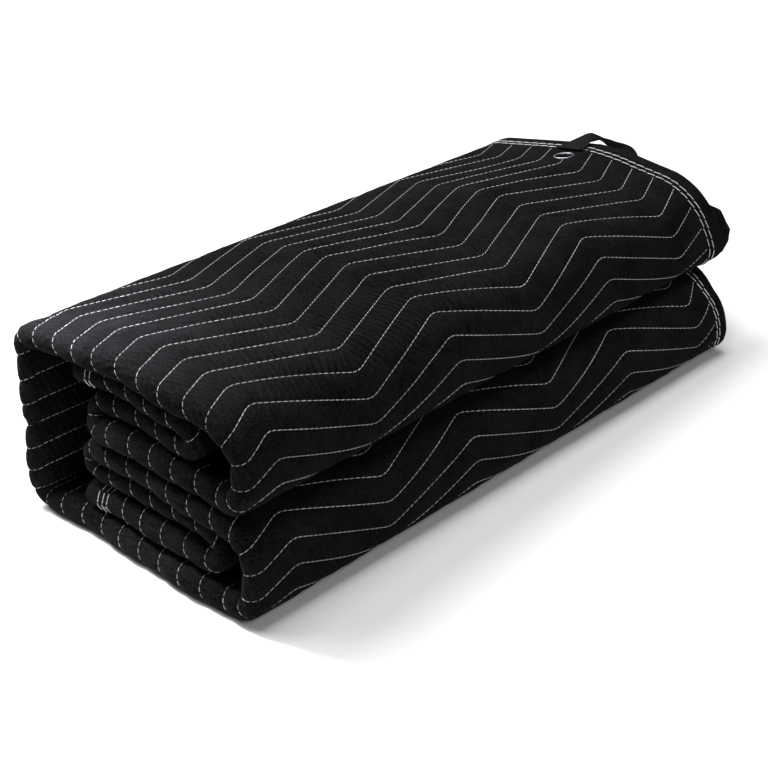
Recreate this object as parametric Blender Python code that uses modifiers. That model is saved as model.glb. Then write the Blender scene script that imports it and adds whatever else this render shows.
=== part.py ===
"""A quilted sound dampening blanket, folded for storage, with one eyelet and one webbing loop at its hem.

The cloth is modelled the way it is made and folded. A flat slab of its real thickness is cut along its fold
lines and quilting lines, and then every point of it is carried to its place by fold(). The slab's first side,
"across", runs over the eight layers that the end view shows. Its second side, "along", runs over the four plies
that each layer holds. +X points at the hemmed end, -Y at the two round folds of the front, and +Z up.
Lengths are in metres.
"""

import bisect
import math

import bmesh
import bpy
from mathutils import Matrix, Vector

# The cloth and the bundle
CLOTH = 0.0046  # thickness of the quilted cloth
PITCH = 0.00558  # from one ply to the next, which leaves a little air between them
LAYER = 4 * PITCH  # a layer is the cloth folded into four plies
LENGTH = 0.610  # the bundle along X
MIDDLE = Vector((0.0076, 0.0193))  # the middle of the whole object, in the bundle's own X and Y
HEIGHT = 8 * LAYER

# The end view, in the order in which the cloth runs. Each layer lies level between two places in Y.
# level: height of its middle in layers; start, end: Y; near, far: how far its two ends are set back.
ARC_STEPS = 60
SPINE_Y = 0.1228
SPINE_CORNER = 0.0135
SPINE_STEPS = 6
LAYERS = (
    ("second", 6.5, 0.066, -0.053, 0.010, 0.004),
    ("third", 5.5, -0.053, 0.038, 0.013, 0.008),
    ("fourth", 4.5, 0.038, -0.0832, 0.006, 0.006),
    ("top", 7.5, -0.0832, SPINE_Y - SPINE_CORNER, 0.0, 0.0),
    ("bottom", 0.5, SPINE_Y - SPINE_CORNER, -0.0891, 0.002, 0.008),
    ("fifth", 3.5, -0.0891, 0.050, 0.007, 0.010),
    ("sixth", 2.5, 0.050, -0.072, 0.014, 0.012),
    ("seventh", 1.5, -0.072, 0.068, 0.009, 0.009),
)
# How full the fold after a layer is at each end of its turn: 2 is a circle's, more is squarer
SQUARENESS = {"fourth": (3.6, 2.0), "bottom": (4.4, 3.6)}
ROUND = (2.0, 2.0)
LEVEL_ROWS = (-0.045, 0.0, 0.040)  # Y of the extra rows that every level run has, so that all plies bend alike
ROW_CLEAR = 0.008  # how far they stay from the run's ends
# Places of runs and folds in the list that end_view() makes
UPPER_FRONT_FOLD, TOP, BOTTOM, LOWER_FRONT_FOLD, FIFTH = 5, 6, 10, 11, 12

# The four plies, counted from the outside. The first and second end in hems, and a fold joins the other two.
OUTER_PLY, SECOND_PLY, THIRD_PLY, INNER_PLY = 1.5, 0.5, -0.5, -1.5
SECOND_HEM_BACK = 0.010  # the second hem lies this far behind the first
FAR_FOLD_BACK = 0.012
SECOND_HEM_OUT = 0.019  # and comes out past it where the cloth rounds the upper front fold
BULGE_MIDDLE = 0.30  # where that is, as a share of the fold
BULGE_FULL = 0.027  # how far across the cloth it stays all the way out
BULGE_END = 0.072  # and where it is back again

# The slight waves of the ends and hems: height, radians to a metre across the cloth, radians at the top's start
NEAR_WAVES = ((0.0014, 31.0, 0.1), (0.0009, 83.0, 1.5))
FIRST_HEM_WAVES = ((0.0012, 37.0, 4.4),)
SECOND_HEM_WAVES = ((0.0020, 52.0, 0.4),)
FAR_FOLD_WAVES = ((-0.0020, 41.0, 1.9),)

# The quilting: parallel zigzag lines of thread that pull the face down
QUILT_SPACING = 0.0240
QUILT_PERIOD = 0.2007
QUILT_SWING = 0.0406  # how far a line moves across the cloth from peak to valley
QUILT_PEAK = 0.1656  # a row of peaks, from the hem
QUILT_FIRST = 0.0055  # where the peaks of a line lie, from the top layer's front end
BOTTOM_SLACK = 0.0057  # cloth in the bottom layer beyond its level length
QUILT_DEPTH = 0.0013
HEM_WIDTH = 0.0215
HEM_RISE = 0.0009
SLOPE = 0.004  # over which the face rises to the hem, or sinks to the pressed ring round the eyelet
SHOWN_SLOPE = 0.012  # over which the quilting fades where the face goes out of sight

# How the bundle has settled: the far end is pressed flatter, its upper fold is drawn back and its spine leans out
FAR_DROP = 0.0311
BACK_DROP = (0.0134, 0.0244)  # at the near and far ends
BACK_POWER = (1.91, 1.10)
FRONT_DROP = 0.0110
FRONT_POWER = 1.10
FRONT_Y = -0.128  # where those two drops are full
BACK_Y = 0.129
FAR_DRAW = 0.0404
DRAW_Z = (0.030, 0.173)  # this range, and those below, run from where it begins to where it is full
HEM_FLARE = 0.0044  # how far the top's hem lifts towards the front
FLARE_X = (LENGTH / 2 - QUILT_PEAK + QUILT_PERIOD / 2, LENGTH / 2)  # it begins at a row of the quilting's valleys
FLARE_Y = (0.010, -0.040)
NEAR_PULL = 0.008  # how far the upper front corner is rounded back at the near end
NEAR_PULL_X = (0.050 - LENGTH / 2, -LENGTH / 2)
NEAR_PULL_Y = (-0.040, -0.130)
NEAR_PULL_Z = (0.090, 0.140)
FAR_PULL = 0.024  # and the lower one at the far end
FAR_PULL_X = (LENGTH / 2 - 0.080, LENGTH / 2)
FAR_PULL_Y = (-0.050, -0.120)
FAR_PULL_Z = (0.105, 0.075)

# The stretch of hem that holds the eyelet and the loop. "back" is a distance across the cloth from the eyelet,
# towards the spine, and "in" is a distance along the cloth from the hem's edge.
STRIP_BACK = 0.0360
STRIP_FRONT = -0.0700
STRIP_DEPTH = QUILT_PEAK - QUILT_PERIOD / 2  # to the quilting's first row of valleys
EYELET_ACROSS = 0.0942  # from the start of the top layer
EYELET_IN = 0.0464
EYELET_BORE = 0.0058
EYELET_BARREL = 0.0066
EYELET_RIM = 0.0098
EYELET_FLANGE = 0.0011
EYELET_SUNK = 0.0006  # how far its upper flange is pressed into the cloth
EYELET_SEAT = 0.0015  # how deep the lower one is
EYELET_WASHER = 0.0008  # the lower flange's thickness
EYELET_EDGE = 0.0004  # how far its edges are set in
EYELET_SIDES = 28
DOME_STEPS = 6  # faces over the upper flange
CUTTER_REACH = 0.006  # each way from the cloth's middle
GAP = 0.0003  # between pieces that touch

# The slab's cuts
MERGE = 0.00012  # a cut this close to a point goes through it
EDGE_CLEAR = 0.001  # no cut runs closer than this beside an edge of the slab
SHORTEST = 0.002  # a shorter stretch of quilting is left plain
TINY = 1e-6  # keeps a place on its own side of a corner

# The webbing loop, from its foot on the hem to its foot under the hem's edge: where its two edges run.
# "back" and "in" are as above, and "up" is above the cloth's face.
STRAP_THICK = 0.0016
STRAP_ROWS = 2  # faces from each line of the table to the next
STRAP = (
    # back edge: back, in, up; front edge: back, in, up
    (0.0218, 0.0300, 0.0023, -0.0062, 0.0300, 0.0023),
    (0.0218, 0.0170, 0.0024, -0.0070, 0.0255, 0.0024),
    (0.0213, 0.0050, 0.0029, -0.0072, 0.0205, 0.0029),
    (0.0168, -0.0025, 0.0058, -0.0062, 0.0150, 0.0042),
    (0.0111, -0.0065, 0.0089, -0.0041, 0.0111, 0.0050),
    (0.0078, -0.0092, 0.0088, -0.0039, 0.0031, 0.0041),
    (0.0018, -0.0105, 0.0062, -0.0054, -0.0050, 0.0030),
    (-0.0060, -0.0115, 0.0034, -0.0102, -0.0090, -0.0040),
    (-0.0175, -0.0120, 0.0012, -0.0142, -0.0105, -0.0100),
    (-0.0302, -0.0115, 0.0010, -0.0192, -0.0105, -0.0108),
    (-0.0407, -0.0095, 0.0002, -0.0232, -0.0090, -0.0096),
    (-0.0486, -0.0066, -0.0034, -0.0262, -0.0068, -0.0078),
    (-0.0512, -0.0040, -0.0061, -0.0280, -0.0035, -0.0066),
    (-0.0522, 0.0068, -0.0062, -0.0287, 0.0068, -0.0062),
)


def smooth(value):
    value = min(max(value, 0.0), 1.0)
    return value * value * (3.0 - 2.0 * value)


def blend(low, high, share):
    return low + (high - low) * share


def ramp(value, ends):
    """0 at the first of two places, 1 at the second and beyond, and smooth between them."""
    return smooth((value - ends[0]) / (ends[1] - ends[0]))


def waved(across, waves):
    return sum(height * math.sin((across - TOP_START) * rate + start) for height, rate, start in waves)


def plane(angle):
    return Vector((math.cos(angle), math.sin(angle)))


class Straight:
    """A level or upright run of the section, with how far its layer's ends are set back."""

    def __init__(self, start, end, ends):
        self.start, self.end, self.ends = Vector(start), Vector(end), ends
        self.length = (self.end - self.start).length
        self.heading = (self.end - self.start).normalized()

    def at(self, share):
        point = self.start.lerp(self.end, share)
        return point, Vector((-self.heading.y, self.heading.x)), self.ends

    def rows(self):
        """Shares of the run at which the cloth gets a row of points."""
        if abs(self.heading.x) < 0.5:
            return [step / SPINE_STEPS for step in range(SPINE_STEPS)]
        low, high = sorted((self.start.x, self.end.x))
        inside = [y for y in LEVEL_ROWS if low + ROW_CLEAR < y < high - ROW_CLEAR]
        return [0.0] + sorted((y - self.start.x) / (self.end.x - self.start.x) for y in inside)


class Turn:
    """A fold of the section: a rounded square, or an arc where its squareness is 2.

    Its length is that of the outer ply where this wraps round the fold, so that the quilting keeps its spacing.
    """

    def __init__(self, centre, radius, start, sweep, steps, ends, ends_after, square=ROUND):
        self.centre, self.radius, self.start, self.sweep = Vector(centre), radius, start, sweep
        self.steps, self.ends, self.ends_after, self.square = steps, ends, ends_after, square
        self.side = -1.0 if sweep > 0 else 1.0
        reach = OUTER_PLY * PITCH + CLOTH / 2 if sweep < 0 else 0.0
        places = [self.place(step / ARC_STEPS) for step in range(ARC_STEPS + 1)]
        places = [middle + normal * reach for middle, normal in places]
        self.lengths = [0.0]
        for first, last in zip(places, places[1:]):
            self.lengths.append(self.lengths[-1] + (last - first).length)
        self.length = self.lengths[-1]

    def place(self, turned):
        """The middle line and its normal at a share of the angle."""
        spoke = plane(self.start + self.sweep * turned)
        square = blend(self.square[0], self.square[1], smooth(turned))
        reach = (abs(spoke.x) ** square + abs(spoke.y) ** square) ** (-1.0 / square)
        normal = Vector([math.copysign(abs(side) ** (square - 1.0), side) for side in spoke]).normalized()
        return self.centre + spoke * self.radius * reach, normal * self.side

    def at(self, share):
        index = min(int(bisect.bisect_right(self.lengths, share * self.length)), ARC_STEPS) - 1
        part = (share * self.length - self.lengths[index]) / (self.lengths[index + 1] - self.lengths[index])
        near, far = (blend(a, b, smooth(share)) for a, b in zip(self.ends, self.ends_after))
        return *self.place((index + part) / ARC_STEPS), (near, far)

    def rows(self):
        return [step / self.steps for step in range(self.steps)]


def end_view():
    """The runs and turns of the cloth in the end view, from the hem on the second layer to the last hem."""
    pieces = []
    for index, (name, level, start, end, near, far) in enumerate(LAYERS):
        z = level * LAYER
        pieces.append(Straight((start, z), (end, z), (near, far)))
        if name == "bottom":
            pieces[-1].length += BOTTOM_SLACK
        if index + 1 == len(LAYERS):
            break
        after = LAYERS[index + 1]
        ends, ends_after = (near, far), after[4:6]
        if name == "top":
            low = after[1] * LAYER
            y = SPINE_Y - SPINE_CORNER
            quarter = -math.pi / 2
            pieces.append(Turn((y, z - SPINE_CORNER), SPINE_CORNER, math.pi / 2, quarter, 3, ends, ends))
            pieces.append(Straight((SPINE_Y, z - SPINE_CORNER), (SPINE_Y, low + SPINE_CORNER), ends))
            pieces.append(Turn((y, low + SPINE_CORNER), SPINE_CORNER, 0.0, quarter, 3, ends, ends_after))
            continue
        rise = after[1] - level
        at_front = end < start
        sweep = math.pi if (rise < 0) == at_front else -math.pi
        first = math.pi / 2 if rise < 0 else -math.pi / 2
        radius = abs(rise) / 2 * LAYER
        steps = 7 if radius > LAYER else 5
        centre = (end, z + rise / 2 * LAYER)
        square = SQUARENESS.get(name, ROUND)
        pieces.append(Turn(centre, radius, first, sweep, steps, ends, ends_after, square))
    return pieces


SECTION = end_view()
SECTION_START = [sum(piece.length for piece in SECTION[:index]) for index in range(len(SECTION) + 1)]
TOP_START = SECTION_START[TOP]
WIDTH = SECTION_START[-1]
# Across the cloth, the quilting is raised where the outer ply shows
SHOWING = (
    (SECTION_START[UPPER_FRONT_FOLD], SECTION_START[BOTTOM]),
    (SECTION_START[LOWER_FRONT_FOLD], SECTION_START[FIFTH]),
)
OUTER_RUN = LENGTH - OUTER_PLY * PITCH - CLOTH / 2
INNER_RUN = OUTER_RUN - FAR_FOLD_BACK
ALONG_RUNS = (
    OUTER_RUN,
    math.pi * OUTER_PLY * PITCH,
    INNER_RUN,
    math.pi * PITCH / 2,
    INNER_RUN,
    math.pi * PITCH / 2,
    OUTER_RUN,
)
ALONG_START = [sum(ALONG_RUNS[:index]) for index in range(len(ALONG_RUNS) + 1)]
FOLD_STEPS = {1: 4, 3: 2, 5: 2}  # faces round each of the folds along the cloth


def locate(starts, place):
    """Which piece a distance falls in, and the share of that piece."""
    index = 0
    while index < len(starts) - 2 and place > starts[index + 1]:
        index += 1
    return index, (place - starts[index]) / (starts[index + 1] - starts[index])


def front_bulge(across):
    """1 where the cloth rounds the upper front fold, 0 a little way from it."""
    middle = blend(SECTION_START[UPPER_FRONT_FOLD], TOP_START, BULGE_MIDDLE)
    return ramp(abs(across - middle), (BULGE_END, BULGE_FULL))


def ply_place(across, along, up, near, far):
    """X, and the distance from the layer's middle, of a point of the cloth."""
    near_x = -LENGTH / 2 + near + OUTER_PLY * PITCH + CLOTH / 2 + waved(across, NEAR_WAVES)
    first_hem = LENGTH / 2 - far + waved(across, FIRST_HEM_WAVES)
    out = blend(-SECOND_HEM_BACK, SECOND_HEM_OUT, front_bulge(across))
    second_hem = LENGTH / 2 - far + out + waved(across, SECOND_HEM_WAVES)
    fold_x = LENGTH / 2 - far - FAR_FOLD_BACK + waved(across, FAR_FOLD_WAVES)
    index, share = locate(ALONG_START, along)
    if index == 0:
        return blend(first_hem, near_x, share), OUTER_PLY * PITCH + up
    if index == 1:
        spoke = plane(math.pi / 2 + math.pi * share) * (OUTER_PLY * PITCH + up)
        return near_x + spoke.x, spoke.y
    if index == 2:
        return blend(near_x, fold_x, share), INNER_PLY * PITCH - up
    if index == 3:
        spoke = plane(-math.pi / 2 + math.pi * share) * (PITCH / 2 + up)
        return fold_x + spoke.x, -PITCH + spoke.y
    if index == 4:
        return blend(fold_x, near_x, share), THIRD_PLY * PITCH + up
    if index == 5:
        spoke = plane(-math.pi / 2 - math.pi * share) * (PITCH / 2 - up)
        return near_x + spoke.x, spoke.y
    return blend(near_x, second_hem, share), SECOND_PLY * PITCH - up


def settle(x, y, z):
    """Moves a point of the neatly folded bundle to where the real, soft one has it."""
    share = x / LENGTH + 0.5
    back, front = max(y, 0.0) / BACK_Y, max(-y, 0.0) / -FRONT_Y
    drop = FAR_DROP * share + blend(*BACK_DROP, share) * back ** blend(*BACK_POWER, share)
    drop += FRONT_DROP * front**FRONT_POWER
    lift = max(x - FLARE_X[0], 0.0) / (FLARE_X[1] - FLARE_X[0]) * ramp(y, FLARE_Y)
    drop -= HEM_FLARE * lift * z / HEIGHT
    drawn = FAR_DRAW * share * ramp(z, DRAW_Z)
    near_pull = NEAR_PULL * ramp(x, NEAR_PULL_X) * ramp(y, NEAR_PULL_Y) * ramp(z, NEAR_PULL_Z)
    far_pull = FAR_PULL * ramp(x, FAR_PULL_X) * ramp(y, FAR_PULL_Y) * ramp(z, FAR_PULL_Z)
    return Vector((x + near_pull - far_pull - MIDDLE.x, y + drawn - MIDDLE.y, z - drop * z / HEIGHT))


def fold(across, along, up):
    index, share = locate(SECTION_START, across)
    middle, normal, (near, far) = SECTION[index].at(share)
    x, depth = ply_place(across, along, up, near, far)
    place = middle + normal * depth
    return settle(x, place.x, place.y - (PITCH - CLOTH) / 2)


def triangle_wave(along):
    """0 on a row of peaks and 1 on a row of valleys."""
    turn = ((along - QUILT_PEAK) / QUILT_PERIOD) % 1.0
    return 2.0 * min(turn, 1.0 - turn)


def quilt_phase(across, along):
    """A whole number on each line of quilting."""
    return (across - TOP_START - QUILT_FIRST + QUILT_SWING * triangle_wave(along)) / QUILT_SPACING


def eyelet_place():
    """Where the eyelet's middle lies across and along the cloth."""
    return TOP_START + EYELET_ACROSS, EYELET_IN


def relief(across, along):
    """How far the showing face lies off the flat: down at the quilting, up over the doubled hem."""
    sides = [min(across - low, high - across) for low, high in SHOWING]
    shown = max(smooth(side / SHOWN_SLOPE) for side in sides)
    if along < HEM_WIDTH:
        return HEM_RISE * shown * smooth((HEM_WIDTH - along) / SLOPE)
    off_line = abs((quilt_phase(across, along) + 0.5) % 1.0 - 0.5) * 2.0
    eyelet = Vector(eyelet_place())
    clear = smooth(((Vector((across, along)) - eyelet).length - EYELET_RIM) / SLOPE)
    return -QUILT_DEPTH * (1.0 - off_line) * clear * shown


def flat_slab(outline):
    """A slab of the cloth's thickness from a flat outline in across and along."""
    mesh = bmesh.new()
    face = mesh.faces.new([mesh.verts.new((u, v, CLOTH / 2)) for u, v in outline])
    mesh.normal_update()
    if face.normal.z < 0:
        face.normal_flip()
    made = bmesh.ops.extrude_face_region(mesh, geom=[face], use_keep_orig=True)
    lower = [item for item in made["geom"] if isinstance(item, bmesh.types.BMVert)]
    bmesh.ops.translate(mesh, verts=lower, vec=(0.0, 0.0, -CLOTH))
    bmesh.ops.recalc_face_normals(mesh, faces=mesh.faces)
    return mesh


def cut(mesh, point, direction, faces=None):
    """Cuts the slab, or some of its faces, by the upright plane through a point."""
    faces = list(mesh.faces) if faces is None else faces
    edges = {edge for face in faces for edge in face.edges}
    verts = {vert for face in faces for vert in face.verts}
    bmesh.ops.bisect_plane(
        mesh,
        geom=list(verts) + list(edges) + list(faces),
        dist=MERGE,
        plane_co=point,
        plane_no=(direction[1], -direction[0], 0.0),
    )


def cut_rows(mesh, low, high):
    """Rows of points across the folds of the end view."""
    for start, piece in zip(SECTION_START, SECTION):
        for share in piece.rows():
            place = start + share * piece.length
            if low + EDGE_CLEAR < place < high - EDGE_CLEAR:
                cut(mesh, (place, 0.0, 0.0), (0.0, 1.0))


def quilt_corners():
    """The rows of valleys and peaks of the quilting, from the hem."""
    corner = QUILT_PEAK - QUILT_PERIOD / 2
    while corner < OUTER_RUN - ROW_CLEAR:
        yield corner
        corner += QUILT_PERIOD / 2


def along_columns():
    """Columns of points at the hem, the quilting's corners and the folds. The hidden plies have every other one."""
    places = [HEM_WIDTH - SLOPE, HEM_WIDTH, *quilt_corners()]
    every_other = [corner / OUTER_RUN for corner in quilt_corners()][::2]
    for index, (start, run) in enumerate(zip(ALONG_START, ALONG_RUNS)):
        if index in FOLD_STEPS:
            shares = [step / FOLD_STEPS[index] for step in range(1, FOLD_STEPS[index])]
        elif index == 0:
            continue
        else:
            shares = every_other if index == 4 else [1.0 - share for share in every_other]
        places += [start] + [start + run * share for share in shares]
    return sorted(places)


def cut_columns(mesh, low, high):
    for place in along_columns():
        if low + EDGE_CLEAR < place < high - EDGE_CLEAR:
            cut(mesh, (0.0, place, 0.0), (1.0, 0.0))


def quilt_faces(mesh, across_range, along_range):
    """Faces of the showing side inside a part of the cloth."""
    found = []
    for face in mesh.faces:
        centre = face.calc_center_median()
        inside = across_range[0] < centre.x < across_range[1] and along_range[0] < centre.y < along_range[1]
        if inside and face.normal.z > 0.5:
            found.append(face)
    return found


def cut_quilting(mesh, low, high, end):
    """Cuts the showing face along every quilting line and midway between lines, up to the folded end."""
    corners = [HEM_WIDTH, *(corner for corner in quilt_corners() if corner < end), end]
    for first, last in zip(corners, corners[1:]):
        if last - first < SHORTEST:
            continue
        shift = QUILT_SWING * (triangle_wave(last - TINY) - triangle_wave(first + TINY))
        direction = Vector((-shift, last - first)).normalized()
        for show_low, show_high in SHOWING:
            area = (max(low, show_low), min(high, show_high))
            if area[1] <= area[0]:
                continue
            step = math.floor(2.0 * quilt_phase(area[0], first + TINY)) - 1
            while True:
                place = TOP_START + QUILT_FIRST + step / 2 * QUILT_SPACING
                place -= QUILT_SWING * triangle_wave(first + TINY)
                step += 1
                if min(place, place - shift) > area[1]:
                    break
                faces = quilt_faces(mesh, area, (first, last))
                if faces:
                    cut(mesh, (place, first, 0.0), direction, faces)


def split_alike(mesh):
    """Splits every square face by the diagonal that runs the same way in all plies, so that they bend alike."""
    for face in list(mesh.faces):
        if len(face.verts) != 4 or abs(face.normal.z) < 0.5:
            continue
        ply, _ = locate(ALONG_START, face.calc_center_median().y)
        way = 1.0 if ply in (0, 4) else -1.0
        corners = list(face.verts)
        reach = [corner.co.x + way * corner.co.y for corner in corners]
        first, last = reach.index(min(reach)), reach.index(max(reach))
        if abs(first - last) == 2:
            bmesh.utils.face_split(face, corners[first], corners[last])


def fold_up(mesh, name, collection):
    """Makes triangles of the flat slab, raises its face and folds it."""
    mesh.normal_update()
    split_alike(mesh)
    bmesh.ops.triangulate(mesh, faces=mesh.faces)
    for vert in mesh.verts:
        across, along, up = vert.co
        if up > 0 and along < ALONG_START[2] + TINY:
            up += relief(across, along)
        vert.co = fold(across, along, up)
    data = bpy.data.meshes.new(name)
    mesh.to_mesh(data)
    mesh.free()
    made = bpy.data.objects.new(name, data)
    collection.objects.link(made)
    return made


def strip_range():
    """The strip's two sides, across the cloth."""
    across = eyelet_place()[0]
    return across + STRIP_FRONT, across + STRIP_BACK


def blanket(collection):
    low, high = strip_range()
    along = ALONG_START[-1]
    outline = (
        (0.0, 0.0),
        (low, 0.0),
        (low, STRIP_DEPTH),
        (high, STRIP_DEPTH),
        (high, 0.0),
        (WIDTH, 0.0),
        (WIDTH, along),
        (0.0, along),
    )
    mesh = flat_slab(outline)
    cut_rows(mesh, 0.0, WIDTH)
    cut_columns(mesh, 0.0, along)
    cut_quilting(mesh, 0.0, WIDTH, ALONG_START[2])
    return fold_up(mesh, "blanket", collection)


def eyelet_strip(collection, cutters):
    """The stretch of hem that fills the blanket's notch, cut for the eyelet."""
    low, high = (side + inward for side, inward in zip(strip_range(), (GAP, -GAP)))
    depth = STRIP_DEPTH - GAP
    mesh = flat_slab(((low, 0.0), (high, 0.0), (high, depth), (low, depth)))
    cut_rows(mesh, low, high)
    cut_columns(mesh, 0.0, depth)
    cut_quilting(mesh, low, high, depth)
    made = fold_up(mesh, "eyelet_strip", collection)
    half = made_thickness() / 2
    outline = (
        (0.0, CUTTER_REACH),
        (EYELET_RIM + GAP, CUTTER_REACH),
        (EYELET_RIM + GAP, half - EYELET_SUNK),
        (EYELET_BARREL + GAP, half - EYELET_SUNK),
        (EYELET_BARREL + GAP, EYELET_SEAT - half),
        (EYELET_RIM + GAP, EYELET_SEAT - half),
        (EYELET_RIM + GAP, -CUTTER_REACH),
        (0.0, -CUTTER_REACH),
    )
    cutter = turned("eyelet_cutter", outline, cutters)
    cutter.matrix_world = eyelet_frame()
    cutter.hide_render = True
    cutter.display_type = "WIRE"
    hole = made.modifiers.new("hole", "BOOLEAN")
    hole.operation = "DIFFERENCE"
    hole.object = cutter
    return made


def made_thickness():
    """The settled thickness of the cloth at the eyelet."""
    across, along = eyelet_place()
    return (fold(across, along, CLOTH / 2) - fold(across, along, -CLOTH / 2)).length


def eyelet_frame():
    """A place and turn in the world whose Z is square to the cloth at the eyelet."""
    across, along = eyelet_place()
    centre = fold(across, along, 0.0)
    side = (fold(across, along + EYELET_RIM, 0.0) - fold(across, along - EYELET_RIM, 0.0)).normalized()
    back = fold(across + EYELET_RIM, along, 0.0) - fold(across - EYELET_RIM, along, 0.0)
    upward = back.cross(side).normalized()
    if upward.z < 0:
        upward = -upward
    turn = Matrix((side.cross(upward), side, upward)).transposed()
    return Matrix.Translation(centre) @ turn.to_4x4()


def turned(name, outline, collection):
    """A turned piece from a half outline that runs down its outer side."""
    mesh = bmesh.new()
    points = [mesh.verts.new((radius, 0.0, height)) for radius, height in outline]
    for first, last in zip(points, points[1:]):
        mesh.edges.new((first, last))
    if outline[0][0] > 0.0:
        mesh.edges.new((points[-1], points[0]))
    data = bpy.data.meshes.new(name)
    mesh.to_mesh(data)
    mesh.free()
    made = bpy.data.objects.new(name, data)
    collection.objects.link(made)
    screw = made.modifiers.new("turn", "SCREW")
    screw.steps = screw.render_steps = EYELET_SIDES
    screw.use_merge_vertices = True
    screw.merge_threshold = 0.0001
    return made


def eyelet(collection):
    """A metal eyelet: a domed upper flange, a barrel through the cloth and a flat lower flange."""
    half = made_thickness() / 2
    seat = half - EYELET_SUNK + GAP
    under = EYELET_SEAT - half - GAP
    middle, reach = (EYELET_BORE + EYELET_RIM) / 2, (EYELET_RIM - EYELET_BORE) / 2
    outline = [(EYELET_BORE, seat + EYELET_FLANGE / 2)]
    for step in range(1, DOME_STEPS + 1):
        swing = math.pi * step / DOME_STEPS
        height = seat + EYELET_FLANGE * blend(0.25, 1.0, math.sin(swing))
        outline.append((middle - reach * math.cos(swing), height))
    outline += [
        (EYELET_RIM, seat),
        (EYELET_BARREL, seat),
        (EYELET_BARREL, under),
        (EYELET_RIM - EYELET_EDGE, under),
        (EYELET_RIM - EYELET_EDGE, under - EYELET_WASHER),
        (EYELET_BORE + EYELET_EDGE, under - EYELET_WASHER),
        (EYELET_BORE, under - EYELET_WASHER / 2),
    ]
    made = turned("eyelet", outline, collection)
    made.matrix_world = eyelet_frame()
    return made


def strap_station(share):
    """The places of the loop's two edges, smoothly between the lines of STRAP."""
    last = len(STRAP) - 1
    index = min(int(share), last - 1)
    lines = [STRAP[min(max(index + step, 0), last)] for step in (-1, 0, 1, 2)]
    part = share - index
    weights = (
        ((2.0 - part) * part - 1.0) * part / 2,
        ((3.0 * part - 5.0) * part * part + 2.0) / 2,
        ((4.0 - 3.0 * part) * part + 1.0) * part / 2,
        (part - 1.0) * part * part / 2,
    )
    return [sum(weight * line[column] for weight, line in zip(weights, lines)) for column in range(6)]


def hanging_loop(collection):
    """The webbing loop, as a band between its two edges, thickened both ways."""
    mesh = bmesh.new()
    across = eyelet_place()[0]
    band = []
    for step in range((len(STRAP) - 1) * STRAP_ROWS + 1):
        places = strap_station(step / STRAP_ROWS)
        edges = [fold(across + back, inward, CLOTH / 2 + up) for back, inward, up in (places[:3], places[3:])]
        band.append([mesh.verts.new(edges[0].lerp(edges[1], side)) for side in (0.0, 0.5, 1.0)])
    for first, last in zip(band, band[1:]):
        for side in (0, 1):
            mesh.faces.new((first[side], first[side + 1], last[side + 1], last[side]))
    bmesh.ops.recalc_face_normals(mesh, faces=mesh.faces)
    data = bpy.data.meshes.new("hanging_loop")
    mesh.to_mesh(data)
    mesh.free()
    made = bpy.data.objects.new("hanging_loop", data)
    collection.objects.link(made)
    solid = made.modifiers.new("thickness", "SOLIDIFY")
    solid.thickness = STRAP_THICK
    solid.offset = 0.0
    solid.use_even_offset = True
    return made


def finish(name, color, roughness, metallic):
    material = bpy.data.materials.new(name)
    material.use_nodes = True
    shader = material.node_tree.nodes["Principled BSDF"]
    shader.inputs["Base Color"].default_value = (*color, 1.0)
    shader.inputs["Roughness"].default_value = roughness
    shader.inputs["Metallic"].default_value = metallic
    return material


for old in list(bpy.data.objects):
    bpy.data.objects.remove(old, do_unlink=True)

parts = bpy.data.collections.new("sound_blanket")
cutting = bpy.data.collections.new("cutters")
for group in (parts, cutting):
    bpy.context.scene.collection.children.link(group)

cloth = finish("quilted_cloth", (0.018, 0.018, 0.020), 0.95, 0.0)
metal = finish("eyelet_metal", (0.56, 0.56, 0.58), 0.30, 1.0)
webbing = finish("webbing", (0.012, 0.012, 0.013), 0.80, 0.0)
for piece, material in (
    (blanket(parts), cloth),
    (eyelet_strip(parts, cutting), cloth),
    (eyelet(parts), metal),
    (hanging_loop(parts), webbing),
):
    piece.data.materials.append(material)
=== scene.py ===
import math

import bpy
import numpy as np
from mathutils import Matrix, Vector
from mathutils.bvhtree import BVHTree


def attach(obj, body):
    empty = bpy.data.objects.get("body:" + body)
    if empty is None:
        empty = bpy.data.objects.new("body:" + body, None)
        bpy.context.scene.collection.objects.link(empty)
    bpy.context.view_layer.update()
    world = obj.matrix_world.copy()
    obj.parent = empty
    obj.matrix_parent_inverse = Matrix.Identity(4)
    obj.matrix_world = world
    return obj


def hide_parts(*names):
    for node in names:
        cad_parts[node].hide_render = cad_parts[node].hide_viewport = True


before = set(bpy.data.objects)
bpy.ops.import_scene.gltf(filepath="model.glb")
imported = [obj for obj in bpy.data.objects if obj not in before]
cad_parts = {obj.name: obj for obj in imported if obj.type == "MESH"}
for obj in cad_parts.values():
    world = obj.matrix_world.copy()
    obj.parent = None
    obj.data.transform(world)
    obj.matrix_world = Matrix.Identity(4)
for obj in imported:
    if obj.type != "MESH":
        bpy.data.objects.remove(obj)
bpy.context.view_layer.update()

# The cloth. A blanket of two napped black faces over a thin filling, 80 by 96 inches, folded in four along
# its length and then back and forth into a bundle of eight layers. It is one sheet: every point of the flat
# cloth is carried to its place by fold(), which repeats the folds of the CAD solid in metres.
CLOTH = 0.0046
PITCH = 0.00558
LAYER = 4 * PITCH
HEIGHT = 8 * LAYER
LENGTH = 0.610
MIDDLE = (0.0076, 0.0193)
SPINE_Y, SPINE_CORNER = 0.1228, 0.0135
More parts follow.
